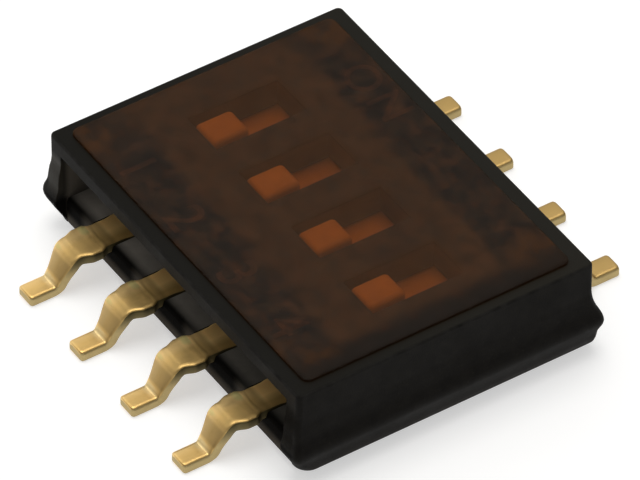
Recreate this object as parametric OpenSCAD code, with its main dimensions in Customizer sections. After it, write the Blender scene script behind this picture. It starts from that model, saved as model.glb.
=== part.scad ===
// Half-pitch surface-mount slide switch, four poles, with a seal film on top.
// Frame: X runs along the row of poles, Y is the way the sliders travel,
// Z is up. The solder feet stand on Z = 0 and the origin is the middle of
// the footprint. All sizes are in millimetres.

/* [Poles] */
// Spacing from one pole to the next, the scale of the whole part
pitch = 1.27; // [1.27:0.01:1.27]
// Number of poles in the row
poles = 4; // [4:1:4]

/* [Housing] */
// Half length of the cover at its top edge, along the row
cover_hx = 3.07; // [3.00:0.01:3.12]
// Half width of the cover at its top edge, across the row
cover_hy = 2.34; // [2.30:0.01:2.40]
// Corner radius of the cover in plan
cover_r = 0.15; // [0.10:0.01:0.20]
// Half length at the widest line, where the two mould halves meet
flare_hx = 3.19; // [3.16:0.01:3.22]
// Half width of the end walls at the widest line
flare_hy = 2.51; // [2.48:0.01:2.54]
// Height of the cover's top face above the board
cover_top = 1.60; // [1.58:0.01:1.62]
// Thickness of the cover's rim, where it overhangs the waist
plate_t = 0.24; // [0.22:0.01:0.26]
// Thickness of the cover between the two rims, where the slots are
lid_t = 0.44; // [0.40:0.01:0.46]
// Gap between the board and the underside of the housing
standoff = 0.13; // [0.10:0.01:0.15]
// Height of the ledge that the contact strips lie on
ledge_z = 0.57; // [0.55:0.01:0.58]
// Half width of the base at the ledge
base_hy = 2.265; // [2.25:0.005:2.28]
// Half width of the recessed waist above the ledge
waist_hy = 1.86; // [1.84:0.01:1.88]

/* [Sliders] */
// Travel of a slider from one end to the other
travel = 0.80; // [0.70:0.05:0.80]
// Middle of the knob at rest, on the Y axis
knob_rest = -0.32; // [-0.34:0.01:-0.30]
// Width of the knob, along the row
knob_x = 0.48; // [0.44:0.01:0.52]
// Width of a slot in the cover
slot_x = 0.72; // [0.66:0.01:0.74]
// Length of the knob, the way it travels
knob_y = 0.58; // [0.54:0.01:0.60]
// Width of the slider's plate
plate_x = 0.92; // [0.88:0.01:0.94]

/* [Leads] */
// Thickness of the strip that the leads are stamped from
strip_t = 0.15; // [0.13:0.01:0.15]
// Distance from the middle of the part to the tip of a foot
tip_y = 3.485; // [3.45:0.005:3.50]
// Width of a foot
foot_w = 0.32; // [0.28:0.01:0.36]
// Width of the shoulder outside the housing
shoulder_w = 0.50; // [0.46:0.01:0.52]
// Width of the strip on the ledge and under the sliders
inner_w = 0.54; // [0.50:0.01:0.56]
// Width over the two stubs left by the tie bar
tie_w = 0.66; // [0.60:0.01:0.68]
// Slope of the riser between shoulder and foot, in degrees
riser_a = 60; // [55:1:65]
// Bend radius at the middle of the strip
bend_r = 0.13; // [0.12:0.01:0.14]

/* [Film] */
// Thickness of the seal film
film_t = 0.05; // [0.04:0.01:0.06]
// Half length of the film, along the row
film_hx = 2.90; // [2.85:0.01:2.94]
// Edge of the film on the side where the knobs rest
film_y0 = -2.12; // [-2.16:0.01:-2.08]
// Edge of the film on the far side
film_y1 = 2.05; // [2.00:0.01:2.10]

/* [Hidden] */

// running gap between a slider and the walls round it
gap = 0.04;
// underside of the cover's rims
plate_z = cover_top - plate_t;
// underside of the cover between them, where the base's waist meets it
lid_z = cover_top - lid_t;
// top of the contact strips: they stand a little proud of the ledge
strip_z = ledge_z + 0.03;
// middle of the strip, at the ledge and in the foot
strip_c = strip_z - strip_t / 2;
foot_c = strip_t / 2;
// inner faces of the cover's end walls, and the ends of the base inside them
wall_in = 2.78;
base_hx = wall_in - 0.02;
waist_hx = 2.70;
// the slider's plate: top, thickness and its ends, measured from the knob
slide_top = lid_z - gap;
slide_t = 0.16;
slide_y0 = -1.15;
slide_y1 = 1.18;
// the four wells that the sliders run in
well_x = plate_x + 2 * gap;
well_y0 = knob_rest + slide_y0 - 0.05;
well_y1 = knob_rest + travel + slide_y1 + 0.04;
// the fixed strips stop either side of a gap under the slider
front_end = 0.33;
back_end = 0.73;
// moving contact: how far its two points are from the knob's middle
point_y = 0.41;
bridge_t = 0.05;
bridge_w = 0.36;
slide_low = slide_top - slide_t;

function pole_x(i) = (i - (poles + 1) / 2) * pitch;

// points of an arc, angles in degrees
function arc(c, r, a0, a1, n) =
    [for (i = [0:n]) let (a = a0 + (a1 - a0) * i / n)
        [c[0] + r * cos(a), c[1] + r * sin(a)]];

// unit normal to the left of the way from p to q
function left(p, q) = let (d = q - p, l = norm(d)) [-d[1] / l, d[0] / l];

// mitred offset of an open line of points
function shifted(p, s) =
    [for (i = [0:len(p) - 1])
        let (a = i == 0 ? left(p[0], p[1]) : left(p[i - 1], p[i]),
             b = i == len(p) - 1 ? a : left(p[i], p[i + 1]),
             m = a + b)
        p[i] + s * 2 * m / (m * m)];

function reversed(p) = [for (i = [len(p) - 1:-1:0]) p[i]];

// draws an outline given as (Y, Z) points, as a solid w wide along X
module along_x(w) {
    translate([-w / 2, 0, 0]) rotate([90, 0, 90])
        linear_extrude(height = w) children();
}

// box from its low corner to its high corner
module box(lo, hi) { translate(lo) cube(hi - lo); }

// thin rounded slab, for the rings that the cover is blended between
module ring(hx, hy, r, z, h = 0.002) {
    hull() for (sx = [-1, 1], sy = [-1, 1])
        translate([sx * (hx - r), sy * (hy - r), z])
            cylinder(r = r, h = h, $fn = 32);
}

// ---------------------------------------------------------------- housing

// The cover is a cap: a lid with a thin rim along both sides, and two end walls
// that reach down to the underside of the housing. Its sides flare to the mould's parting line.
module cover() {
    mid_z = 1.08;
    color([0.055, 0.053, 0.05]) difference() {
        union() {
            hull() {
                ring(cover_hx, cover_hy, cover_r, cover_top - 0.002);
                ring(3.10, 2.35, 0.16, mid_z);
            }
            hull() {
                ring(3.10, 2.35, 0.16, mid_z);
                ring(flare_hx, flare_hy, 0.20, 0.60);
                ring(flare_hx, flare_hy, 0.20, 0.50);
            }
            hull() {
                ring(flare_hx, flare_hy, 0.20, 0.50);
                ring(3.06, 2.43, 0.18, standoff);
            }
        }
        // the channel across the part that the base and leads come out of
        box([-wall_in, -3, 0], [wall_in, 3, lid_z]);
        // its roof is higher outside the waist, which leaves a rim on each side
        for (s = [-1, 1])
            box([-wall_in, s > 0 ? waist_hy : -3, 0],
                [wall_in, s > 0 ? 3 : -waist_hy, plate_z]);
        // one slot per knob
        for (i = [1:poles])
            box([pole_x(i) - slot_x / 2, knob_rest - knob_y / 2 - 0.03, 1],
                [pole_x(i) + slot_x / 2,
                 knob_rest + travel + knob_y / 2 + 0.03, 2]);
    }
    // a ridge inside each end wall snaps into the base
    color([0.055, 0.053, 0.05]) for (s = [-1, 1])
        translate([s > 0 ? 2.71 : -wall_in, -1.25, 0.32])
            cube([wall_in - 2.71, 2.5, 0.12]);
}

// The base is moulded round the contact strips. Its waist holds four wells.
module base() {
    color([0.065, 0.063, 0.06]) difference() {
        union() {
            box([-base_hx, -base_hy, standoff], [base_hx, base_hy, ledge_z]);
            box([-waist_hx, -waist_hy, ledge_z], [waist_hx, waist_hy, lid_z]);
        }
        for (i = [1:poles]) {
            // well for the slider
            box([pole_x(i) - well_x / 2, well_y0, ledge_z],
                [pole_x(i) + well_x / 2, well_y1, lid_z + 1]);
            // seats of the two contact strips
            box([pole_x(i) - inner_w / 2, -3, strip_z - strip_t],
                [pole_x(i) + inner_w / 2, front_end, strip_z]);
            box([pole_x(i) - inner_w / 2, back_end, strip_z - strip_t],
                [pole_x(i) + inner_w / 2, 3, strip_z]);
        }
        // grooves in the ends for the cover's ridges
        for (s = [-1, 1])
            box([s > 0 ? 2.69 : -3, -1.3, 0.30], [s > 0 ? 3 : -2.69, 1.3, 0.46]);
    }
}

// Thin film over the slots, its corners rounded.
module seal_film() {
    r = 0.12;
    color([0.34, 0.20, 0.09]) union() {
        box([-film_hx + r, film_y0, cover_top], [film_hx - r, film_y1, cover_top + film_t]);
        box([-film_hx, film_y0 + r, cover_top], [film_hx, film_y1 - r, cover_top + film_t]);
        for (x = [-film_hx + r, film_hx - r], y = [film_y0 + r, film_y1 - r])
            translate([x, y, cover_top]) cylinder(r = r, h = film_t, $fn = 48);
    }
}

// ---------------------------------------------------------------- sliders

// One slider: a plate that runs in the well, two skirts either side of the
// moving contact, a peg that holds it, and the knob in the cover's slot.
module slider(i) {
    color([0.80, 0.62, 0.36]) translate([pole_x(i), knob_rest, 0]) union() {
        box([-plate_x / 2, slide_y0, slide_low], [plate_x / 2, slide_y1, slide_top]);
        for (s = [-1, 1])
            box([s > 0 ? 0.34 : -plate_x / 2, -0.95, 0.66],
                [s > 0 ? plate_x / 2 : -0.34, 0.95, slide_low + 0.001]);
        box([-knob_x / 2, -knob_y / 2, slide_top - 0.001],
            [knob_x / 2, knob_y / 2, cover_top - 0.03]);
        translate([0, 0, slide_low - 0.09]) cylinder(r = 0.08, h = 0.091, $fn = 32);
    }
}

// Moving contact: a bowed spring strip with two points that ride on the
// fixed strips and bridge them when the slider is at its far end.
module bridge(i) {
    z0 = slide_low - bridge_t / 2;
    zp = strip_z + 0.015 + bridge_t / 2;
    half = [[0.56, z0], [0.66, z0 - 0.05], [0.67, z0 - 0.14], [0.60, z0 - 0.24],
        [point_y + 0.05, zp], [point_y - 0.05, zp], [0.25, zp + 0.08]];
    line = concat([for (p = reversed(half)) [-p[0], p[1]]], half);
    color([0.86, 0.70, 0.36]) translate([pole_x(i), knob_rest, 0]) difference() {
        along_x(bridge_w) polygon(concat(shifted(line, bridge_t / 2),
            reversed(shifted(line, -bridge_t / 2))));
        translate([0, 0, slide_low - 0.2]) cylinder(r = 0.09, h = 0.3, $fn = 32);
    }
}

// ------------------------------------------------------------------ leads

// Side outline of a lead, u running outwards from the middle of the part.
function lead_side(u_in) =
    let (a = riser_a, h = strip_t / 2, n = 6,
         drop = strip_c - foot_c,
         slope = (drop - 2 * bend_r * (1 - cos(a))) / tan(a),
         u0 = 2.70, u1 = u0 + 2 * bend_r * sin(a) + slope,
         c0 = [u0, strip_c - bend_r], c1 = [u1, foot_c + bend_r])
    concat([[u_in, strip_z]], arc(c0, bend_r + h, 90, 90 - a, n),
        arc(c1, bend_r - h, 270 - a, 270, n),
        [[tip_y - 0.02, strip_t], [tip_y, strip_t - 0.03], [tip_y, 0.02], [tip_y - 0.02, 0]],
        arc(c1, bend_r + h, 270, 270 - a, n),
        arc(c0, bend_r - h, 90 - a, 90, n), [[u_in, strip_z - strip_t]]);

// Half widths of a lead seen from above, from the inside out.
function lead_half(u_in) =
    [[inner_w / 2, u_in], [inner_w / 2, 2.36], [tie_w / 2, 2.40], [tie_w / 2, 2.50],
     [shoulder_w / 2, 2.56], [shoulder_w / 2, 2.74], [foot_w / 2 + 0.02, 2.92],
     [foot_w / 2, 3.02], [foot_w / 2, tip_y - 0.05], [foot_w / 2 - 0.05, tip_y]];

module lead(u_in) {
    half = lead_half(u_in);
    color([0.83, 0.68, 0.36]) intersection() {
        along_x(1) polygon(lead_side(u_in));
        translate([0, 0, -1]) linear_extrude(height = 3)
            polygon(concat(half, [for (p = reversed(half)) [-p[0], p[1]]]));
    }
}

// Lead on the side where the knobs rest: its strip reaches under the slider.
module lead_front(i) {
    translate([pole_x(i), 0, 0]) mirror([0, 1, 0]) lead(-front_end);
}

// Lead on the far side, with the shorter strip.
module lead_back(i) {
    translate([pole_x(i), 0, 0]) lead(back_end);
}

base();
cover();
seal_film();
slider(1);  // slider_1
slider(2);  // slider_2
slider(3);  // slider_3
slider(4);  // slider_4
bridge(1);  // bridge_1
bridge(2);  // bridge_2
bridge(3);  // bridge_3
bridge(4);  // bridge_4
lead_front(1);  // lead_front_1
lead_front(2);  // lead_front_2
lead_front(3);  // lead_front_3
lead_front(4);  // lead_front_4
lead_back(1);  // lead_back_1
lead_back(2);  // lead_back_2
lead_back(3);  // lead_back_3
lead_back(4);  // lead_back_4
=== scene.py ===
import math

import bmesh
import bpy
from mathutils import Matrix, Vector, noise


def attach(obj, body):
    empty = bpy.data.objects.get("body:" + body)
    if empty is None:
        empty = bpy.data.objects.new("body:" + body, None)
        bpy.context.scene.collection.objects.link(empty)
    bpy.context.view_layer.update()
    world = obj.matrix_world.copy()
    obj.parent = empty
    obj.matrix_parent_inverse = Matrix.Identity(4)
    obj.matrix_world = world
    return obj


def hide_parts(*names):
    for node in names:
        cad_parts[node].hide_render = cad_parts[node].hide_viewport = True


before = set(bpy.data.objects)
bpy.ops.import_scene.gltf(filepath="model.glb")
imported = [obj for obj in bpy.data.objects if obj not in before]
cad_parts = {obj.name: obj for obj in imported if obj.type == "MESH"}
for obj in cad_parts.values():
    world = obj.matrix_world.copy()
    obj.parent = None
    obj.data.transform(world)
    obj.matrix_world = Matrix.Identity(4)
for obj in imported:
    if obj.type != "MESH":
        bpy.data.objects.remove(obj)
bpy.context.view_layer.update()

# Lengths below are in millimetres, as in the part's source, and become metres
# when a piece is finished.
MM = 0.001
POLES = (-1.905, -0.635, 0.635, 1.905)
COVER_TOP, PLATE_Z, LID_Z, LEDGE_Z, STANDOFF = 1.60, 1.36, 1.16, 0.57, 0.13
STRIP_T, STRIP_Z, TIP_Y = 0.15, 0.60, 3.485
KNOB_Y, TRAVEL = -0.32, 0.80

scene = bpy.context.scene
stash = bpy.data.collections.new("work")
scene.collection.children.link(stash)


# ------------------------------------------------------------------ helpers

def smooth(a, b, x):
    t = min(1.0, max(0.0, (x - a) / (b - a)))
    return t * t * (3 - 2 * t)


def rough_piece(name, verts, faces):
    """A working object, in millimetres, from plain points and faces."""
    me = bpy.data.meshes.new(name)
    me.from_pydata([tuple(v) for v in verts], [], faces)
    bm = bmesh.new()
    bm.from_mesh(me)
    bmesh.ops.recalc_face_normals(bm, faces=bm.faces)
    bm.to_mesh(me)
    bm.free()
    ob = bpy.data.objects.new(name, me)
    stash.objects.link(ob)
    return ob


def boxes(name, spans):
    """Several separate boxes in one working object, each (low corner, high corner)."""
    verts, faces = [], []
    for lo, hi in spans:
        k = len(verts)
        for z in (lo[2], hi[2]):
            verts += [(lo[0], lo[1], z), (hi[0], lo[1], z), (hi[0], hi[1], z), (lo[0], hi[1], z)]
        faces += [[k + i for i in f] for f in ((0, 3, 2, 1), (4, 5, 6, 7), (0, 1, 5, 4),
                                              (1, 2, 6, 5), (2, 3, 7, 6), (3, 0, 4, 7))]
    return rough_piece(name, verts, faces)


def applied(ob):
    """Puts the result of ob's modifiers into its mesh."""
    bpy.context.view_layer.update()
    dg = bpy.context.evaluated_depsgraph_get()
    me = bpy.data.meshes.new_from_object(ob.evaluated_get(dg), depsgraph=dg)
    old = ob.data
    ob.modifiers.clear()
    ob.data = me
    bpy.data.meshes.remove(old)
    return ob


def combine(ob, other, how):
    mod = ob.modifiers.new("cut", "BOOLEAN")
    mod.object, mod.operation, mod.solver = other, how, "EXACT"
    applied(ob)
    bpy.data.objects.remove(other)
    return ob


def tidy(ob, degrees=0.6):
    bm = bmesh.new()
    bm.from_mesh(ob.data)
    bmesh.ops.remove_doubles(bm, verts=bm.verts, dist=0.0005)
    bmesh.ops.dissolve_limit(bm, angle_limit=math.radians(degrees), verts=bm.verts,
                             edges=bm.edges)
    bm.to_mesh(ob.data)
    bm.free()
    return ob


def rounded(ob, width, weigh=None, segments=3, sharp=35):
    """Rounds the sharp edges. weigh(midpoint, edge) gives a share of the width."""
    bm = bmesh.new()
    bm.from_mesh(ob.data)
    layer = bm.edges.layers.float.new("bevel_weight_edge")
    for e in bm.edges:
        w = 0.0
        if len(e.link_faces) == 2 and e.calc_face_angle(0.0) > math.radians(sharp):
            mid = (e.verts[0].co + e.verts[1].co) / 2
            w = 1.0 if weigh is None else weigh(mid, e)
        e[layer] = w
    bm.to_mesh(ob.data)
    bm.free()
    mod = ob.modifiers.new("round", "BEVEL")
    mod.width, mod.segments, mod.limit_method = width, segments, "WEIGHT"
    mod.use_clamp_overlap = True
    mod.harden_normals = False
    return applied(ob)


def finished(ob, name, body, materials, replaces=(), soften=32, weighted=True):
    """Turns a working object into a piece of the model, in metres."""
    me = ob.data
    me.name = name
    me.transform(Matrix.Scale(MM, 4))
    if "bevel_weight_edge" in me.attributes:
        me.attributes.remove(me.attributes["bevel_weight_edge"])
    me.polygons.foreach_set("use_smooth", [True] * len(me.polygons))
    me.set_sharp_from_angle(angle=math.radians(soften))
    me.update()
    ob.name = name
    stash.objects.unlink(ob)
    scene.collection.objects.link(ob)
    if weighted:
        mod = ob.modifiers.new("even shading", "WEIGHTED_NORMAL")
        mod.keep_sharp = True
        mod.weight = 50
    which = [p.material_index for p in me.polygons]
    me.materials.clear()
    for m in materials:
        me.materials.append(m)
    me.polygons.foreach_set("material_index", which)
    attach(ob, body)
    if replaces:
        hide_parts(*replaces)
    return ob


def outline(hx, hy, r, n=8, cx=0.0, cy=0.0, along=1, across=1, r_far=None):
    """Points of a rounded rectangle. along and across cut up its straight sides. r_far
    is the radius of its two +Y corners, where that differs."""
    pts = []
    far = r if r_far is None else r_far
    corners = ((1, 1, far), (-1, 1, far), (-1, -1, r), (1, -1, r))
    for q, (sx, sy, rq) in enumerate(corners):
        for i in range(n + 1):
            a = math.radians(90 * q + 90 * i / n)
            pts.append((cx + sx * (hx - rq) + rq * math.cos(a), cy + sy * (hy - rq) + rq * math.sin(a)))
        steps = along if q % 2 == 0 else across
        nx, ny, rn = corners[(q + 1) % 4]
        a = math.radians(90 * (q + 1))
        end = (cx + nx * (hx - rn) + rn * math.cos(a), cy + ny * (hy - rn) + rn * math.sin(a))
        x0, y0 = pts[-1]
        pts += [(x0 + (end[0] - x0) * k / steps, y0 + (end[1] - y0) * k / steps)
                for k in range(1, steps)]
    return pts


def skin(rings, first_cap=True, last_cap=True):
    """Faces between rings of the same number of points, in order, with flat ends."""
    n = len(rings[0])
    verts = [p for ring in rings for p in ring]
    faces = []
    for k in range(len(rings) - 1):
        for i in range(n):
            j = (i + 1) % n
            faces.append([k * n + i, k * n + j, (k + 1) * n + j, (k + 1) * n + i])
    if first_cap:
        faces.append(list(range(n))[::-1])
    if last_cap:
        faces.append([(len(rings) - 1) * n + i for i in range(n)])
    return verts, faces


# ---------------------------------------------------------------- materials

class Look:
    """A node material with a few short ways to add nodes."""

    def __init__(self, name):
        self.mat = bpy.data.materials.new(name)
        self.mat.use_nodes = True
        self.tree = self.mat.node_tree
        self.tree.nodes.clear()
        self.out = self.add("ShaderNodeOutputMaterial")
        coord = self.add("ShaderNodeTexCoord")
        self.mm = self.add("ShaderNodeVectorMath", {0: coord.outputs["Object"], 3: 1000.0},
                           operation="SCALE").outputs[0]
        xyz = self.add("ShaderNodeSeparateXYZ", {0: self.mm})
        self.x, self.y, self.z = xyz.outputs[0], xyz.outputs[1], xyz.outputs[2]
        self.up = self.add("ShaderNodeSeparateXYZ", {0: coord.outputs["Normal"]}).outputs[2]

    def add(self, kind, ins=None, **props):
        n = self.tree.nodes.new(kind)
        for k, v in props.items():
            setattr(n, k, v)
        for k, v in (ins or {}).items():
            if isinstance(v, bpy.types.NodeSocket):
                self.tree.links.new(v, n.inputs[k])
            else:
                n.inputs[k].default_value = v
        return n

    def noise(self, scale, detail=3.0, rough=0.5, stretch=None, shift=(0, 0, 0)):
        vec = self.mm
        if stretch or any(shift):
            vec = self.add("ShaderNodeMapping", {"Vector": vec, "Location": shift,
                                                 "Scale": stretch or (1, 1, 1)}).outputs[0]
        return self.add("ShaderNodeTexNoise", {"Vector": vec, "Scale": scale, "Detail": detail,
                                               "Roughness": rough}).outputs[0]

    def spread(self, value, a, b, lo=0.0, hi=1.0, soft=False):
        return self.add("ShaderNodeMapRange", {0: value, 1: a, 2: b, 3: lo, 4: hi},
                        interpolation_type="SMOOTHSTEP" if soft else "LINEAR").outputs[0]

    def math(self, how, a, b=None, c=None):
        ins = {0: a}
        if b is not None:
            ins[1] = b
        if c is not None:
            ins[2] = c
        return self.add("ShaderNodeMath", ins, operation=how).outputs[0]

    def blend(self, fac, a, b, how="MIX"):
        return self.add("ShaderNodeMix", {0: fac, 6: a, 7: b}, data_type="RGBA",
                        blend_type=how).outputs[2]

    def bump(self, height, microns, normal=None):
        ins = {"Height": height, "Distance": microns * 1e-6, "Strength": 1.0}
        if normal is not None:
            ins["Normal"] = normal
        return self.add("ShaderNodeBump", ins).outputs[0]

    def shader(self, **ins):
        n = self.add("ShaderNodeBsdfPrincipled", {k.replace("_", " "): v for k, v in ins.items()})
        self.tree.links.new(n.outputs[0], self.out.inputs[0])
        return n


def rgb(r, g, b):
    return (r, g, b, 1.0)


def black_plastic(name, lo, hi, grain, microns, rough, shine, extra=None):
    """Moulded plastic: eroded mould texture, slow waves and uneven gloss. extra(k, colour,
    cloud, shine) adds what differs from place to place, painted light and shade among it."""
    k = Look(name)
    fine = k.noise(grain, 2.0, 0.6)
    slow = k.noise(1.7, 3.0, 0.55)
    cloud = k.noise(5.0, 4.0, 0.6, shift=(3.1, 1.7, 0.4))
    fleck = k.spread(k.noise(26.0, 1.0, 0.4, shift=(9, 2, 5)), 0.66, 0.74, 0, 0.35)
    colour = k.blend(k.spread(cloud, 0.3, 0.7), rgb(*lo), rgb(*hi))
    colour = k.blend(fleck, colour, rgb(*[c * 2.2 for c in hi]))
    if extra is not None:
        colour, shine = extra(k, colour, cloud, shine)
    gloss = k.math("ADD", k.spread(slow, 0.25, 0.75, rough - 0.07, rough + 0.07),
                   k.spread(fine, 0.3, 0.7, -0.04, 0.04))
    normal = k.bump(slow, 5.0)
    normal = k.bump(fine, microns, normal)
    k.shader(Base_Color=colour, Roughness=gloss, Normal=normal, Specular_IOR_Level=shine)
    return k.mat


def cover_places(k, colour, cloud, shine):
    """Painted light and shade: a painted highlight along the top edges, painted light on the recess walls, the slot
    walls and the end posts, more at the -X end, painted floor light on the lower band, and painted shade low on the
    end posts' lead sides.
    """
    ax, ay = k.math("ABSOLUTE", k.x), k.math("ABSOLUTE", k.y)
    # painted highlight along the rounded top edges, patchy with the cloud
    rim = k.math("MAXIMUM", k.spread(ax, 2.99, 3.05, 0, 1, soft=True), k.spread(ay, 2.26, 2.32, 0, 1, soft=True))
    edge_highlight = k.math("MULTIPLY", rim, k.spread(k.z, 1.545, 1.59, 0, 1, soft=True))
    edge_highlight = k.math("MULTIPLY", edge_highlight, k.spread(cloud, 0.35, 0.65, 0.25, 0.9))
    colour = k.blend(edge_highlight, colour, rgb(0.020, 0.019, 0.0175))
    # painted light on the end walls' inner faces in the recess, much lighter at the -X end
    inner = k.math("MULTIPLY", k.spread(ax, 2.80, 2.785, 0, 1), k.spread(k.z, 1.37, 1.355, 0, 1))
    first = k.spread(k.x, -1.0, 1.0, 1, 0)
    inner = k.math("MULTIPLY", inner, k.spread(ay, 2.33, 2.18, 0, 1, soft=True))
    colour = k.blend(inner, colour, k.blend(first, rgb(0.030, 0.027, 0.023), rgb(0.085, 0.075, 0.062)))
    fold = k.math("ABSOLUTE", k.math("SUBTRACT", k.math("ABSOLUTE", k.math("SUBTRACT", ax, 1.27)), 0.635))
    # painted light on the slot walls, against the shade inside the slots
    slot = k.math("MULTIPLY", k.spread(fold, 0.40, 0.37, 0, 1), k.spread(k.z, 1.595, 1.57, 0, 1))
    slot = k.math("MULTIPLY", slot, k.spread(k.math("ABSOLUTE", k.math("SUBTRACT", k.y, 0.08)), 0.76, 0.73, 0, 1))
    colour = k.blend(slot, colour, rgb(0.058, 0.038, 0.023))
    # painted light on the end posts' lead-side faces: lighter and glossier at the -X end, less glossy at the +X end
    post = k.math("MULTIPLY", k.spread(ay, 2.27, 2.33, 0, 1, soft=True), k.spread(ax, 3.07, 2.98, 0, 1, soft=True))
    post = k.math("MULTIPLY", post, k.spread(k.z, 0.60, 0.80, 0, 1, soft=True))
    post = k.math("MULTIPLY", post, k.spread(k.z, 1.36, 1.20, 0, 1, soft=True))
    colour = k.blend(k.math("MULTIPLY", post, first), colour, rgb(0.016, 0.013, 0.008))
    bare = k.math("MULTIPLY", k.spread(k.up, 0.80, 0.97, 0, 1, soft=True), k.spread(k.z, 1.58, 1.59, 0, 1))
    colour = k.blend(bare, colour, k.blend(k.spread(k.y, -2.0, 2.0), rgb(0.0095, 0.0088, 0.0070),
                                           rgb(0.0165, 0.0150, 0.0115)))
    # painted floor light: the lower band is lighter
    foot = k.math("MULTIPLY", k.spread(k.z, 0.36, 0.16, 0, 1, soft=True), k.spread(cloud, 0.3, 0.7, 0.55, 1.0))
    colour = k.blend(foot, colour, rgb(0.020, 0.0175, 0.0155))
    # painted shade low on the end posts' lead-side faces, with less gloss
    low = k.math("MULTIPLY", k.spread(ay, 2.20, 2.30, 0, 1, soft=True), k.spread(ax, 3.14, 3.02, 0, 1, soft=True))
    low = k.math("MULTIPLY", low, k.spread(k.z, 0.64, 0.56, 0, 1, soft=True))
    low = k.math("MULTIPLY", low, k.spread(k.z, 0.15, 0.26, 0, 1, soft=True))
    colour = k.blend(low, colour, rgb(0.0030, 0.0027, 0.0022))
    # painted light and shade in the gloss: more on the -X post, less on the +X post and where the lower sides are
    # painted shade
    shine = k.math("ADD", k.math("MULTIPLY", post, k.spread(first, 0, 1, -0.035, 0.13)), shine)
    return colour, k.math("MULTIPLY", shine, k.spread(low, 0, 1, 1.0, 0.15))


def base_places(k, colour, cloud, shine):
    """Painted light: the ledge's upward faces are a lighter grey, lighter still towards the
    -X end; the outer face below and the bottom edge are lighter too. Painted shade makes a
    darker, less glossy spot on the outer face beside each lead and at the -X end."""
    ay = k.math("ABSOLUTE", k.y)
    # painted light on the ledge's upward faces, more towards the -X end
    flat = k.math("MULTIPLY", k.spread(k.up, 0.35, 0.85, 0, 1, soft=True), k.spread(k.z, 0.62, 0.60, 0, 1))
    flat = k.math("MULTIPLY", flat, k.spread(ay, 2.23, 2.05, 0.12, 1, soft=True))
    pale = k.blend(k.spread(k.x, -2.7, 2.7, 0, 1), rgb(0.33, 0.30, 0.26), rgb(0.075, 0.070, 0.058))
    colour = k.blend(k.math("MULTIPLY", flat, k.spread(cloud, 0.3, 0.7, 0.8, 1.0)), colour, pale)
    # painted floor light: lighter towards the bottom
    foot = k.spread(k.z, 0.24, 0.15, 0, 0.8, soft=True)
    colour = k.blend(foot, colour, rgb(0.014, 0.0125, 0.011))
    # painted shade on the outer face beside each lead and at the -X end, with less gloss
    beside = k.math("FRACT", k.math("DIVIDE", k.math("ADD", k.x, 3.175), 1.27))
    patch = k.spread(k.math("ABSOLUTE", k.math("SUBTRACT", beside, 0.33)), 0.45, 0.22, 0, 1, soft=True)
    patch = k.math("MAXIMUM", patch, k.spread(k.x, -2.35, -2.5, 0, 1, soft=True))
    patch = k.math("MULTIPLY", patch, k.spread(ay, 2.16, 2.24, 0, 1, soft=True))
    patch = k.math("MULTIPLY", patch, k.spread(k.z, 0.20, 0.38, 0, 1, soft=True))
    # painted light: the outer face of the ledge slab is lighter
    side = k.math("MULTIPLY", k.spread(ay, 2.20, 2.25, 0, 1), k.spread(k.z, 0.60, 0.55, 0, 1))
    colour = k.blend(side, colour, rgb(0.046, 0.039, 0.030))
    colour = k.blend(patch, colour, rgb(0.0030, 0.0027, 0.0022))
    return colour, k.math("MULTIPLY", k.spread(patch, 0, 1, 1.0, 0.2), shine)


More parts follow.
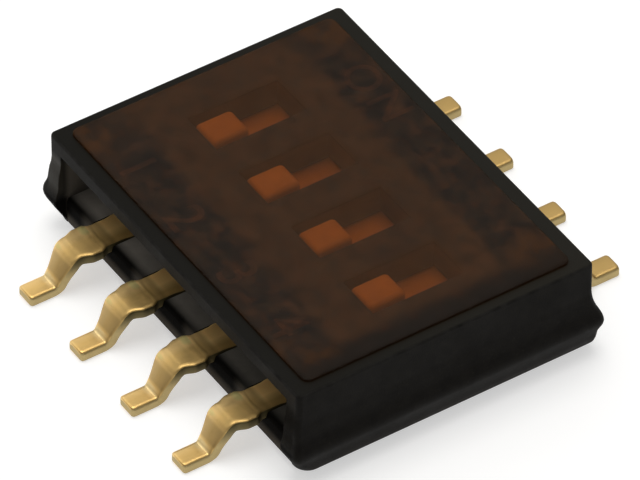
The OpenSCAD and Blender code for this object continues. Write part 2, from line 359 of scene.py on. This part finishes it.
def gold(name, bright, dull, rough, microns, streak, low=None):
    """Matt gold over rolled strip: faint rolling lines, stains and uneven gloss. Painted light and
    shade: painted shade near the body and on the riser, painted light on the inner part, paler towards the -X edge
    and darker towards the +X edge, a painted highlight in the heel, and painted highlights and shade along the bends.
    low is the colour that it fades to near the board, a painted reflection of the floor, for the sheared sides."""
    k = Look(name)
    lines = k.noise(7.0, 2.0, 0.5, stretch=streak)
    stain = k.noise(2.3, 4.0, 0.6, shift=(4, 7, 1))
    grain = k.noise(46.0, 2.0, 0.5)
    away = k.math("ABSOLUTE", k.y)
    # painted shade on the strip near the body, mixed with the stains
    near = k.math("MULTIPLY", k.spread(away, 2.70, 2.50, 0.0, 0.3, soft=True),
                  k.spread(away, 2.28, 2.36, 0.0, 1.0, soft=True))
    amount = k.math("MAXIMUM", k.spread(stain, 0.50, 0.78, 0.0, 0.5), near)
    colour = k.blend(amount, rgb(*bright), rgb(*dull))
    if low is not None:
        # painted reflection of the floor: the sheared sides lighter lower down
        colour = k.blend(k.spread(k.z, 0.56, 0.22, 0, 1, soft=True), colour, rgb(*low))
    else:
        # painted light on the strip's inner part under the rim
        colour = k.blend(k.spread(away, 2.30, 2.15, 0, 1, soft=True), colour, rgb(0.98, 0.71, 0.31))
        # painted light and shade across the strip: paler towards its -X edge, darker towards its +X edge
        across = k.math("FRACT", k.math("DIVIDE", k.math("ADD", k.x, 2.54), 1.27))
        colour = k.blend(k.spread(across, 0.50, 0.39, 0, 1), colour, rgb(0.97, 0.68, 0.29))
        colour = k.blend(k.spread(across, 0.50, 0.61, 0, 1), colour, rgb(*[c * 0.76 for c in bright]))
        # painted shade on the riser
        riser_shade = k.math("MULTIPLY", k.spread(k.z, 0.205, 0.27, 0, 1, soft=True),
                      k.spread(k.z, 0.54, 0.46, 0, 1, soft=True))
        colour = k.blend(riser_shade, colour, rgb(0.62, 0.62, 0.64), how="MULTIPLY")
        # painted highlight in the heel, fading towards the +X edge
        heel = k.math("MULTIPLY", k.spread(k.z, 0.23, 0.19, 0, 1, soft=True),
                      k.spread(away, 3.19, 3.11, 0, 1, soft=True))
        heel = k.math("MULTIPLY", heel, k.spread(across, 0.50, 0.61, 1, 0.1))
        colour = k.blend(heel, colour, rgb(0.88, 0.68, 0.34))
        colour = k.blend(k.spread(k.y, 2.0, 2.1), colour, rgb(*[c * 0.62 for c in bright]))
        # painted light and shade along the strip: darker outside the ledge, a dark band before the bend and a bright
        # band past it
        light_and_shade_along = k.spread(away, 2.13, 2.22, 1.0, 0.56, soft=True)
        for a, b, c in ((2.33, 2.39, 2.2), (2.44, 2.56, 0.75), (2.68, 2.75, 0.68), (2.76, 2.84, 1.85),
                        (2.87, 2.92, 0.88)):
            light_and_shade_along = k.math("MULTIPLY", light_and_shade_along, k.spread(away, a, b, 1.0, c, soft=True))
        colour = k.blend(1.0, colour, rgb(1.26, 1.26, 1.26), how="MULTIPLY")
        colour = k.blend(k.spread(light_and_shade_along, 0.0, 1.26, 1.0, 0.0), colour, rgb(0.0, 0.0, 0.0))
    gloss = k.math("ADD", k.spread(stain, 0.3, 0.75, rough - 0.04, rough + 0.07),
                   k.spread(lines, 0.3, 0.7, -0.03, 0.03))
    gloss = k.math("ADD", gloss, k.spread(away, 2.40, 2.30, 0.0, 0.30, soft=True))
    normal = k.bump(lines, microns)
    normal = k.bump(grain, microns * 0.7, normal)
    k.shader(Base_Color=colour, Metallic=1.0, Roughness=gloss, Normal=normal)
    return k.mat


def slider_look():
    """Pale satin plastic with faint flow marks and a painted highlight on its sharp edges."""
    k = Look("slider plastic")
    flow = k.noise(3.0, 3.0, 0.6, stretch=(1, 0.35, 1))
    fine = k.noise(34.0, 2.0, 0.5)
    colour = k.blend(k.spread(flow, 0.3, 0.7), rgb(0.68, 0.37, 0.09), rgb(0.80, 0.46, 0.13))
    # painted highlight on sharp edges
    edge = k.spread(k.add("ShaderNodeNewGeometry").outputs["Pointiness"], 0.52, 0.62, 0, 0.4)
    colour = k.blend(edge, colour, rgb(0.84, 0.54, 0.20))
    k.shader(Base_Color=colour, Roughness=k.spread(flow, 0.3, 0.7, 0.42, 0.56),
             Normal=k.bump(fine, 1.6), Specular_IOR_Level=0.4)
    return k.mat


def legend_look():
    """Thin grey-brown marking ink, worn through in places."""
    k = Look("marking ink")
    wear = k.noise(14.0, 3.0, 0.6)
    colour = k.blend(k.spread(wear, 0.42, 0.62), rgb(0.040, 0.025, 0.014), rgb(0.090, 0.052, 0.026))
    k.shader(Base_Color=colour, Roughness=k.spread(wear, 0.3, 0.7, 0.55, 0.75),
             Normal=k.bump(wear, 1.0), Specular_IOR_Level=0.3)
    return k.mat


def film_look(under):
    """Amber film. It is hazy where it lies over the raised rim and clearer, with more
    colour, where it isn't stuck down: in the middle and at its lifted corners."""
    k = Look("amber film underside" if under else "amber film")
    tint = rgb(0.81, 0.63, 0.46)
    clear = k.add("ShaderNodeBsdfTransparent", {0: tint})
    if under:
        k.tree.links.new(clear.outputs[0], k.out.inputs[0])
        return k.mat
    wob = k.noise(1.6, 3.0, 0.6)
    mottle = k.noise(3.6, 4.0, 0.65, shift=(2, 5, 0))
    patchy = k.noise(2.2, 3.0, 0.7, shift=(8, 3, 0))
    fine = k.noise(30.0, 2.0, 0.5)
    ax, ay = k.math("ABSOLUTE", k.x), k.math("ABSOLUTE", k.y)
    yy = k.math("ADD", k.y, k.spread(wob, 0.2, 0.8, -0.12, 0.12))
    xx = k.math("ADD", k.x, k.spread(mottle, 0.2, 0.8, -0.10, 0.10))
    middle = k.math("MULTIPLY",
                    k.spread(k.math("ABSOLUTE", yy), 1.46, 1.20, 0, 1, soft=True),
                    k.spread(xx, 2.70, 2.38, 0, 1, soft=True))
    # corners that have come up
    cx = k.math("SUBTRACT", 2.62, k.math("ABSOLUTE", xx))
    cy = k.math("SUBTRACT", 1.86, k.math("ABSOLUTE", yy))
    far = k.math("SQRT", k.math("ADD", k.math("MULTIPLY", cx, cx),
                                k.math("MULTIPLY", k.math("MULTIPLY", cy, cy), 1.4)))
    lifted = k.math("MULTIPLY", k.spread(far, 0.78, 0.16, 0, 1, soft=True),
                    k.spread(patchy, 0.40, 0.62, 0.10, 1.0, soft=True))
    # over the four slots, where nothing sticks to the film
    fold = k.math("ABSOLUTE", k.math("SUBTRACT", k.math("ABSOLUTE", k.math("SUBTRACT", ax, 1.27)), 0.635))
    slot = k.math("MULTIPLY", k.spread(fold, 0.40, 0.33, 0, 1, soft=True),
                  k.spread(k.math("ABSOLUTE", k.math("SUBTRACT", k.y, 0.08)), 0.77, 0.70, 0, 1, soft=True))
    colour = k.blend(middle, rgb(0.027, 0.0205, 0.0145), rgb(0.102, 0.046, 0.0185))
    colour = k.blend(k.spread(mottle, 0.40, 0.70, 0, 0.55), colour, rgb(0.125, 0.052, 0.016))
    blot = k.noise(4.6, 2.5, 0.55, shift=(5, 9, 2))
    colour = k.blend(k.spread(blot, 0.50, 0.70, 0, 0.42), colour, rgb(0.150, 0.056, 0.020))
    colour = k.blend(k.spread(blot, 0.48, 0.30, 0, 0.42), colour, rgb(0.040, 0.031, 0.018))
    colour = k.blend(lifted, colour, rgb(0.125, 0.047, 0.011))
    colour = k.blend(k.spread(slot, 0, 1, 0, 0.50), colour, rgb(0.118, 0.044, 0.008))
    dirt = k.spread(k.noise(1.1, 2.0, 0.5, shift=(7, 1, 3)), 0.52, 0.72, 0, 0.28)
    colour = k.blend(dirt, colour, rgb(0.030, 0.0225, 0.017))
    colour = k.blend(k.spread(xx, 2.50, 2.80, 0, 0.85, soft=True), colour, rgb(0.025, 0.0235, 0.0185))
    normal = k.bump(k.noise(2.4, 2.0, 0.5), 6.0)
    normal = k.bump(fine, 0.5, normal)
    solid = k.add("ShaderNodeBsdfPrincipled", {
        "Base Color": colour, "Normal": normal, "Specular IOR Level": 0.24,
        "Roughness": k.spread(mottle, 0.3, 0.7, 0.36, 0.48)})
    haze = k.math("ADD", k.spread(mottle, 0.3, 0.7, 0.33, 0.41), k.spread(middle, 0, 1, 0.01, 0.0))
    haze = k.math("MULTIPLY", haze, k.spread(slot, 0, 1, 1.0, 0.93))
    haze = k.math("MULTIPLY", haze, k.spread(xx, 2.40, 2.75, 1.0, 0.80, soft=True))
    # the rim of the sheet fades into the cover
    side = k.math("MINIMUM", k.spread(ax, 2.90, 2.80, 0.75, 1, soft=True),
                  k.math("MINIMUM", k.spread(k.y, -2.12, -2.04, 0.75, 1, soft=True),
                         k.spread(k.y, 2.09, 2.05, 0.6, 1, soft=True)))
    haze = k.math("MULTIPLY", haze, side)
    mix = k.add("ShaderNodeMixShader", {0: haze, 1: clear.outputs[0], 2: solid.outputs[0]})
    k.tree.links.new(mix.outputs[0], k.out.inputs[0])
    return k.mat


BLACK = black_plastic("black housing plastic", (0.0040, 0.0034, 0.0026), (0.0078, 0.0068, 0.0052),
                      42.0, 3.0, 0.54, 0.052, cover_places)
BASE = black_plastic("black base plastic", (0.0045, 0.0043, 0.0040), (0.0085, 0.0081, 0.0074),
                     34.0, 4.0, 0.66, 0.05, base_places)
GOLD = gold("gold plating", (0.78, 0.522, 0.190), (0.48, 0.335, 0.125), 0.40, 0.7, (7, 0.7, 1))
CUT = gold("plating on cut edges", (0.135, 0.110, 0.052), (0.085, 0.070, 0.035), 0.55, 1.2, (1, 1, 0.4),
           low=(0.50, 0.39, 0.185))
SPRING = gold("bright contact gold", (0.92, 0.69, 0.34), (0.80, 0.58, 0.27), 0.28, 0.7, (6, 0.7, 1))
SLIDER = slider_look()
INK = legend_look()
FILM, FILM_UNDER = film_look(False), film_look(True)


# -------------------------------------------------------------------- cover

def make_cover():
    # height, how far out the ends, the -Y side and the +Y side are there, radius of the
    # -Y and of the +Y corners
    flare = [(0.130, -0.030, -0.080, 0.052, 0.22, 0.13), (0.175, 0.005, -0.074, 0.086, 0.19, 0.12),
             (0.225, 0.014, -0.048, 0.100, 0.15, 0.11), (0.290, 0.025, -0.005, 0.100, 0.12, 0.10),
             (0.370, 0.042, 0.034, 0.096, 0.10, 0.09), (0.440, 0.067, 0.070, 0.124, 0.09, 0.09),
             (0.500, 0.089, 0.091, 0.148, 0.09, 0.09), (0.555, 0.097, 0.099, 0.155, 0.09, 0.09),
             (0.605, 0.094, 0.095, 0.146, 0.09, 0.09), (0.650, 0.084, 0.086, 0.133, 0.085, 0.085),
             (0.740, 0.052, 0.058, 0.095, 0.08, 0.08), (0.800, 0.038, 0.050, 0.064, 0.08, 0.08),
             (0.880, 0.026, 0.047, 0.033, 0.08, 0.08), (0.950, 0.018, 0.042, 0.014, 0.08, 0.08),
             (1.020, 0.010, 0.034, 0.004, 0.08, 0.08), (1.100, 0.0, 0.014, 0.0, 0.08, 0.08),
             (1.200, 0.0, 0.0, 0.0, 0.08, 0.08)]
    rings = []
    for z, dx, front, back, r, far in flare:
        pts = outline(3.07 + dx, 2.34 + (front + back) / 2, r, cy=(back - front) / 2, r_far=far)
        rings.append([(x, y, z) for x, y in pts])
    edge = 0.045
    for i in range(6):
        a = math.radians(90 * i / 5)
        inset = edge * (1 - math.cos(a))
        pts = outline(3.07 - inset, 2.34 - inset, 0.08 - inset * 0.8)
        rings.append([(x, y, COVER_TOP - edge + edge * math.sin(a)) for x, y in pts])
    ob = rough_piece("cover_shell", *skin(rings))
    combine(ob, boxes("channel", [((-2.78, -3, 0), (2.78, 3, LID_Z))]), "DIFFERENCE")
    for lo, hi in ((-3, -1.86), (1.86, 3)):
        combine(ob, boxes("recess", [((-2.78, lo, 0), (2.78, hi, PLATE_Z))]), "DIFFERENCE")
    slots = [((x - 0.36, KNOB_Y - 0.32, 1), (x + 0.36, KNOB_Y + TRAVEL + 0.32, 2)) for x in POLES]
    combine(ob, boxes("slots", slots), "DIFFERENCE")
    ridges = [((2.71, -1.25, 0.32), (2.80, 1.25, 0.44)), ((-2.80, -1.25, 0.32), (-2.71, 1.25, 0.44))]
    combine(ob, boxes("ridges", ridges), "UNION")
    tidy(ob)

    def weigh(mid, e):
        if mid.z > 1.5 and (abs(mid.x) > 2.9 or abs(mid.y) > 2.2):
            return 0.0
        if mid.z < 0.2:
            return 1.0
        if abs(mid.x) < 2.9 and abs(mid.y) < 1.3:
            return 0.22
        if abs(mid.z - LID_Z) < 0.01 or abs(abs(mid.y) - 1.86) < 0.01:
            return 0.25
        return 0.9

    return rounded(ob, 0.035, weigh)


cover = finished(make_cover(), "cover_shell", "housing", [BLACK], ["cover"])


# --------------------------------------------------------------------- base

def make_base():
    # ledge slab: its long faces lean in a little and have a chamfer underneath
    side = [(-2.252, STANDOFF), (2.252, STANDOFF), (2.262, 0.17), (2.265, 0.50), (2.235, LEDGE_Z),
            (-2.235, LEDGE_Z), (-2.265, 0.50), (-2.262, 0.17)]
    rings = [[(x, y, z) for y, z in side] for x in (-2.779, 2.779)]
    ob = rough_piece("base_body", *skin(rings))
    combine(ob, boxes("waist", [((-2.70, -1.858, 0.40), (2.70, 1.858, LID_Z - 0.003))]), "UNION")
    wells = [((x - 0.50, -1.52, LEDGE_Z), (x + 0.50, 1.70, 3)) for x in POLES]
    combine(ob, boxes("wells", wells), "DIFFERENCE")
    seats = []
    for x in POLES:
        seats += [((x - 0.27, -3, 0.45), (x + 0.27, 0.33, 0.60)), ((x - 0.27, 0.73, 0.45), (x + 0.27, 3, 0.60))]
    combine(ob, boxes("seats", seats), "DIFFERENCE")
    grooves = [((2.69, -1.3, 0.30), (3, 1.3, 0.46)), ((-3, -1.3, 0.30), (-2.69, 1.3, 0.46))]
    combine(ob, boxes("grooves", grooves), "DIFFERENCE")
    tidy(ob)

    def weigh(mid, e):
        if any(abs(abs(mid.x - x) - 0.27) < 0.01 for x in POLES) and mid.z < 0.62:
            return 0.35
        return 1.0

    return rounded(ob, 0.022, weigh, sharp=25)


base = finished(make_base(), "base_body", "housing", [BASE], ["base"])


# -------------------------------------------------------------------- leads

def lead_width(u):
    """Half width at u, the distance from the middle of the part."""
    w = 0.27 - 0.018 * smooth(1.95, 2.05, u)
    w += 0.053 * smooth(2.30, 2.42, u) - 0.055 * smooth(2.54, 2.72, u)
    w -= 0.065 * smooth(2.78, 2.98, u) + 0.015 * smooth(2.98, 3.08, u)
    return w


def lead_line(u_in):
    """Middle line of the strip: (u, z, slope in radians) from the inner end outwards."""
    r, h, a = 0.13, STRIP_T / 2, math.radians(60)
    top, foot = STRIP_Z - h, h
    u0 = 2.70
    run = (top - foot - 2 * r * (1 - math.cos(a))) / math.tan(a)
    u1 = u0 + 2 * r * math.sin(a) + run
    us = [u_in + 0.03, u_in + 0.2]
    us += [u_in + 0.2 + (1.9 - u_in - 0.2) * i / 5 for i in range(1, 6)]
    us += [1.96, 2.02, 2.08, 2.13, 2.17, 2.20]
    us += [2.20 + 0.0125 * i for i in range(1, 37)] + [2.675, 2.70]
    line = [(u, top, 0.0) for u in us]
    for i in range(1, 11):
        t = a * i / 10
        line.append((u0 + r * math.sin(t), top - r * (1 - math.cos(t)), t))
    p, q = line[-1], (u1 - r * math.sin(a), foot + r * (1 - math.cos(a)), a)
    for i in range(1, 6):
        line.append((p[0] + (q[0] - p[0]) * i / 6, p[1] + (q[1] - p[1]) * i / 6, a))
    for i in range(0, 11):
        t = a * (1 - i / 10)
        line.append((u1 - r * math.sin(t), foot + r * (1 - math.cos(t)), t))
    line += [(u1 + (TIP_Y - 0.055 - u1) * i / 6, foot, 0.0) for i in range(1, 7)]
    return line


def lead_section(w, h, top_r, low_r, lift):
    """Points round the strip's section: across the top, down, back and up."""
    pts = []
    n_top, n_arc, n_side, n_low = 14, 4, 2, 4
    for i in range(n_top + 1):
        x = -(w - top_r) + 2 * (w - top_r) * i / n_top
        pts.append((x, h + lift(x / w), 0))
    edge = lift(1.0)
    # The third value of each point picks the cut-edge plating; it covers the sides and also the lower half of each
    # rounded top edge, painted shade there in place of a highlight.
    for i in range(1, n_arc + 1):
        a = math.radians(90 - 90 * i / n_arc)
        pts.append((w - top_r + top_r * math.cos(a), h + edge * math.sin(a) - top_r + top_r * math.sin(a),
                    1 if i >= n_arc / 2 else 0))
    for i in range(1, n_side):
        pts.append((w, (h - top_r) + (-2 * h + top_r + low_r) * i / n_side, 1))
    for i in range(0, n_arc + 1):
        a = math.radians(-90 * i / n_arc)
        pts.append((w - low_r + low_r * math.cos(a), -h + low_r + low_r * math.sin(a), 1))
    for i in range(1, n_low):
        pts.append((w - low_r - 2 * (w - low_r) * i / n_low, -h, 0))
    for i in range(0, n_arc + 1):
        a = math.radians(-90 - 90 * i / n_arc)
        pts.append((-w + low_r + low_r * math.cos(a), -h + low_r + low_r * math.sin(a), 1))
    for i in range(1, n_side):
        pts.append((-w, (-h + low_r) + (2 * h - top_r - low_r) * i / n_side, 1))
    for i in range(0, n_arc):
        a = math.radians(180 - 90 * i / n_arc)
        pts.append((-w + top_r + top_r * math.cos(a), h + edge * math.sin(a) - top_r + top_r * math.sin(a),
                    1 if i <= n_arc / 2 else 0))
    return pts


def make_lead(name, x0, side, u_in, seed):
    h = STRIP_T / 2
    rings, marks = [], []

    def add(u, z, t, w, hh, top_r=0.048, low_r=0.022):
        def lift(s):
            crown = 0.005 * (1 - s * s) * smooth(2.30, 2.50, u) * (1 - smooth(2.78, 2.98, u))
            crown += 0.005 * (1 - s * s) * smooth(3.08, 3.2, u)
            line = 2.315 - 0.035 * s * s
            step = -0.003 * (1 - smooth(line - 0.03, line + 0.03, u))
            crease = -0.0022 * math.exp(-((u - line) / 0.016) ** 2)
            dent = 0.0015 * noise.noise(Vector((s * 1.1 + seed * 3.7, u * 2.3, seed)))
            return (crown + step + crease + dent) * (hh / h)
        ring = []
        for x, n, mark in lead_section(w, hh, min(top_r, hh * 0.9), min(low_r, hh * 0.9), lift):
            uu, zz = u + n * math.sin(t), z + n * math.cos(t)
            ring.append((x0 + x, side * uu, zz))
            if not rings:
                marks.append(mark)
        rings.append(ring)

    line = lead_line(u_in)
    u, z, t = line[0]
    add(u_in, z, t, 0.27 - 0.02, h - 0.02)
    add(u_in + 0.008, z, t, 0.27 - 0.006, h - 0.006)
    for u, z, t in line:
        add(u, z, t, lead_width(u), h)
    for du, dw, dh in ((0.028, 0.004, 0.0), (0.019, 0.011, 0.001), (0.011, 0.019, 0.004),
                       (0.005, 0.027, 0.009), (0.0015, 0.035, 0.015), (0.0, 0.046, 0.024)):
        add(TIP_Y - du, h, 0.0, 0.17 - dw, h - dh)
    verts, faces = skin(rings)
    ob = rough_piece(name, verts, faces)
    n = len(rings[0])
    for p in ob.data.polygons:
        if len(p.vertices) > 4:
            p.material_index = 1
            continue
        i = min(v % n for v in p.vertices)
        j = max(v % n for v in p.vertices)
        if marks[i] and marks[j]:
            p.material_index = 1
    return ob


for i, x in enumerate(POLES, 1):
    for row, side, u_in in (("front", -1, -0.33), ("back", 1, 0.73)):
        name = f"lead_{row}_{i}"
        ob = make_lead(name + "_strip", x, side, u_in, i + (10 if side > 0 else 0))
        finished(ob, name + "_strip", "housing", [GOLD, CUT], [name],
                 soften=50, weighted=False)


# ------------------------------------------------------------------ sliders

def make_slider(name, x):
    spans = [((x - 0.46, KNOB_Y - 1.15, 0.96), (x + 0.46, KNOB_Y + 1.18, 1.12))]
    ob = boxes(name, spans)
    skirts = [((x + s, KNOB_Y - 0.95, 0.66), (x + t, KNOB_Y + 0.95, 0.97)) for s, t in ((-0.46, -0.34), (0.34, 0.46))]
    for span in skirts:
        combine(ob, boxes("skirt", [span]), "UNION")
    # knob: soft corners, its top a little off the middle of its foot
    rings = []
    for z, d in ((1.11, -0.012), (1.145, 0.0), (1.475, 0.002), (1.505, 0.007), (1.530, 0.018),
                 (1.549, 0.035), (1.562, 0.057), (1.568, 0.080), (1.570, 0.105)):
        off = 0.022 * smooth(1.15, 1.50, z)
        rings.append([(px, py, z) for px, py in outline(0.25 - d, 0.30 - d, max(0.075 - d * 0.5, 0.02), 6,
                                                        x - off, KNOB_Y + 0.5 * off)])
    combine(ob, rough_piece("knob", *skin(rings)), "UNION")
    peg = [[(x + 0.08 * math.cos(a), KNOB_Y + 0.08 * math.sin(a), z)
            for a in (math.tau * i / 24 for i in range(24))] for z in (0.87, 0.98)]
    combine(ob, rough_piece("peg", *skin(peg)), "UNION")
    tidy(ob, 0.3)

    def weigh(mid, e):
        near_knob = abs(mid.x - x) < 0.27 and abs(mid.y - KNOB_Y) < 0.32
        return 0.0 if near_knob and mid.z > 1.125 else 0.4 if near_knob else 1.0

    return rounded(ob, 0.022, weigh)


for i, x in enumerate(POLES, 1):
    ob = make_slider(f"slider_{i}_moulding", x)
    finished(ob, f"slider_{i}_moulding", f"actuator_{i}", [SLIDER], [f"slider_{i}"])
    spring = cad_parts[f"bridge_{i}"]
    spring.data.materials.clear()
    spring.data.materials.append(SPRING)


# --------------------------------------------------------------------- film

def film_height(x, y):
    """Top of the film: slow waves, a faint sag over each slot, corners a touch up."""
    z = 1.6452 + 0.0028 * noise.noise(Vector((x * 0.9, y * 0.9, 4.2)))
    z += 0.0008 * noise.noise(Vector((x * 3.1, y * 3.1, 1.7)))
    for px in POLES:
        inside = (1 - smooth(0.24, 0.42, abs(x - px))) * (1 - smooth(0.60, 0.82, abs(y - 0.08)))
        z -= 0.0042 * inside
    z += 0.002 * smooth(2.9, 3.4, math.hypot(x, y * 1.2))
    return min(z, 1.6494)


def make_film():
    hx, y0, y1, r = 2.90, -2.12, 2.09, 0.12
    cy, hy = (y0 + y1) / 2, (y1 - y0) / 2

    def ring(d, z=None, drop=0.0):
        pts = outline(hx - d, hy - d, max(r - d, 0.006), 5, 0.0, cy, along=56, across=40)
        return [(x, y, film_height(x, y) - drop if z is None else z) for x, y in pts]

    rings = [ring(0.006, 1.6045), ring(0.0, 1.612), ring(0.0, None, 0.012), ring(0.003, None, 0.005),
             ring(0.009, None, 0.0012), ring(0.018)]
    d = 0.05
    while d < hy - 0.02:
        rings.append(ring(d))
        d += min(0.07, 0.02 + d * 0.35)
    rings.append(ring(hy - 0.012))
    verts, faces = skin(rings)
    ob = rough_piece("seal_film_sheet", verts, faces)
    low = min(range(len(ob.data.polygons)), key=lambda k: ob.data.polygons[k].center.z
              - 0.001 * len(ob.data.polygons[k].vertices))
    ob.data.polygons[low].material_index = 1
    return ob


film = finished(make_film(), "seal_film_sheet", "housing", [FILM, FILM_UNDER],
                ["seal_film"], soften=60, weighted=False)


# ----------------------------------------------------------- printed legend

def mark(name, text, x, y, size):
    """Plain printed characters on the cover, under the film."""
    curve = bpy.data.curves.new(name, "FONT")
    curve.body, curve.size = text, size
    curve.align_x, curve.align_y = "CENTER", "CENTER"
    curve.extrude, curve.resolution_u = 0.0014, 6
    curve.offset = 0.006
    curve.space_character = 1.25
    ob = bpy.data.objects.new(name + "_curve", curve)
    stash.objects.link(ob)
    bpy.context.view_layer.update()
    dg = bpy.context.evaluated_depsgraph_get()
    me = bpy.data.meshes.new_from_object(ob.evaluated_get(dg), depsgraph=dg)
    bpy.data.objects.remove(ob)
    bm = bmesh.new()
    bm.from_mesh(me)
    bmesh.ops.remove_doubles(bm, verts=bm.verts, dist=0.00002)
    bmesh.ops.translate(bm, verts=bm.verts, vec=(x, y, COVER_TOP + 0.0018))
    bm.to_mesh(me)
    bm.free()
    me.materials.clear()
    ob = bpy.data.objects.new(name, me)
    stash.objects.link(ob)
    return finished(ob, name, "housing", [INK], soften=40, weighted=False)


for i, x in enumerate(POLES, 1):
    mark(f"numeral_{i}", str(i), (-1.83, -0.64, 0.64, 1.84)[i - 1], -1.74, 0.80)
mark("legend_on", "ON", -1.33, 1.76, 0.72)


# ------------------------------------------------- floor, lights and camera

def make_floor():
    k = Look("pale floor")
    cloud = k.noise(0.06, 3.0, 0.5)
    fine = k.noise(3.0, 2.0, 0.5)
    colour = k.blend(k.spread(cloud, 0.3, 0.7), rgb(0.62, 0.62, 0.617), rgb(0.65, 0.65, 0.647))
    k.shader(Base_Color=colour, Roughness=k.spread(fine, 0.3, 0.7, 0.72, 0.8), Specular_IOR_Level=0.2,
             Normal=k.bump(fine, 1.5), Emission_Color=rgb(1, 1, 1), Emission_Strength=0.52)
    n, size = 24, 0.6
    verts = [((i / n - 0.5) * size, (j / n - 0.5) * size, -0.000002) for j in range(n + 1) for i in range(n + 1)]
    faces = [[j * (n + 1) + i, j * (n + 1) + i + 1, (j + 1) * (n + 1) + i + 1, (j + 1) * (n + 1) + i]
             for j in range(n) for i in range(n)]
    me = bpy.data.meshes.new("floor")
    me.from_pydata(verts, [], faces)
    me.materials.append(k.mat)
    ob = bpy.data.objects.new("floor", me)
    scene.collection.objects.link(ob)


make_floor()

world = bpy.data.worlds.new("studio")
scene.world = world
world.use_nodes = True
wt = world.node_tree
wt.nodes.clear()
w_out = wt.nodes.new("ShaderNodeOutputWorld")
w_bg = wt.nodes.new("ShaderNodeBackground")
w_co = wt.nodes.new("ShaderNodeTexCoord")
w_dot = wt.nodes.new("ShaderNodeVectorMath")
w_dot.operation = "DOT_PRODUCT"
w_fit = wt.nodes.new("ShaderNodeMapRange")
w_ramp = wt.nodes.new("ShaderNodeValToRGB")
wt.links.new(w_co.outputs["Generated"], w_dot.inputs[0])
w_dot.inputs[1].default_value = Vector((-0.75, 0.0, 0.66)).normalized()
wt.links.new(w_dot.outputs["Value"], w_fit.inputs[0])
w_fit.inputs[1].default_value, w_fit.inputs[2].default_value = -1.0, 1.0
wt.links.new(w_fit.outputs[0], w_ramp.inputs[0])
wt.links.new(w_ramp.outputs[0], w_bg.inputs[0])
wt.links.new(w_bg.outputs[0], w_out.inputs[0])
stops = ((0.0, 0.25), (0.72, 0.29), (0.93, 0.70), (1.0, 0.82))
for k, (at, v) in enumerate(stops):
    e = w_ramp.color_ramp.elements[k] if k < 2 else w_ramp.color_ramp.elements.new(at)
    e.position, e.color = at, (v, v * 0.995, v * 0.985, 1)
w_bg.inputs[1].default_value = 1.0


def sun(name, towards, strength, angle, colour=(1, 1, 1)):
    lamp = bpy.data.lights.new(name, "SUN")
    lamp.energy, lamp.angle, lamp.color = strength, math.radians(angle), colour
    ob = bpy.data.objects.new(name, lamp)
    ob.rotation_mode = "QUATERNION"
    ob.rotation_quaternion = (-Vector(towards)).to_track_quat("-Z", "Y")
    scene.collection.objects.link(ob)


sun("soft key", (-0.10, 0.05, 1.0), 1.35, 40, (1.0, 0.985, 0.96))

az, el = math.radians(56.798), math.radians(43.241)
back = Vector((math.sin(az) * math.cos(el), -math.cos(az) * math.cos(el), math.sin(el)))
right = Vector((math.cos(az), math.sin(az), 0.0))
up = back.cross(right)
px = 1 / 74.629  # millimetres to a pixel at the middle of the part
aim = Vector((0, 0, 0.7)) + right * (0.393 * px) + up * (6.444 * px)
cam = bpy.data.cameras.new("camera")
cam.sensor_fit, cam.sensor_width, cam.lens = "HORIZONTAL", 36.0, 510.79
cam.clip_start, cam.clip_end = 0.001, 20.0
cam.dof.use_dof = False
cam_ob = bpy.data.objects.new("camera", cam)
cam_ob.rotation_mode = "QUATERNION"
cam_ob.rotation_quaternion = (-back).to_track_quat("-Z", "Y")
cam_ob.location = (aim + back * 121.679) * MM
scene.collection.objects.link(cam_ob)
scene.camera = cam_ob

scene.view_settings.view_transform = "Standard"
scene.view_settings.look = "None"
scene.view_settings.exposure = 0.0
scene.view_settings.gamma = 1.0

scene.collection.children.unlink(stash)
bpy.data.collections.remove(stash)

bpy.context.view_layer.update()
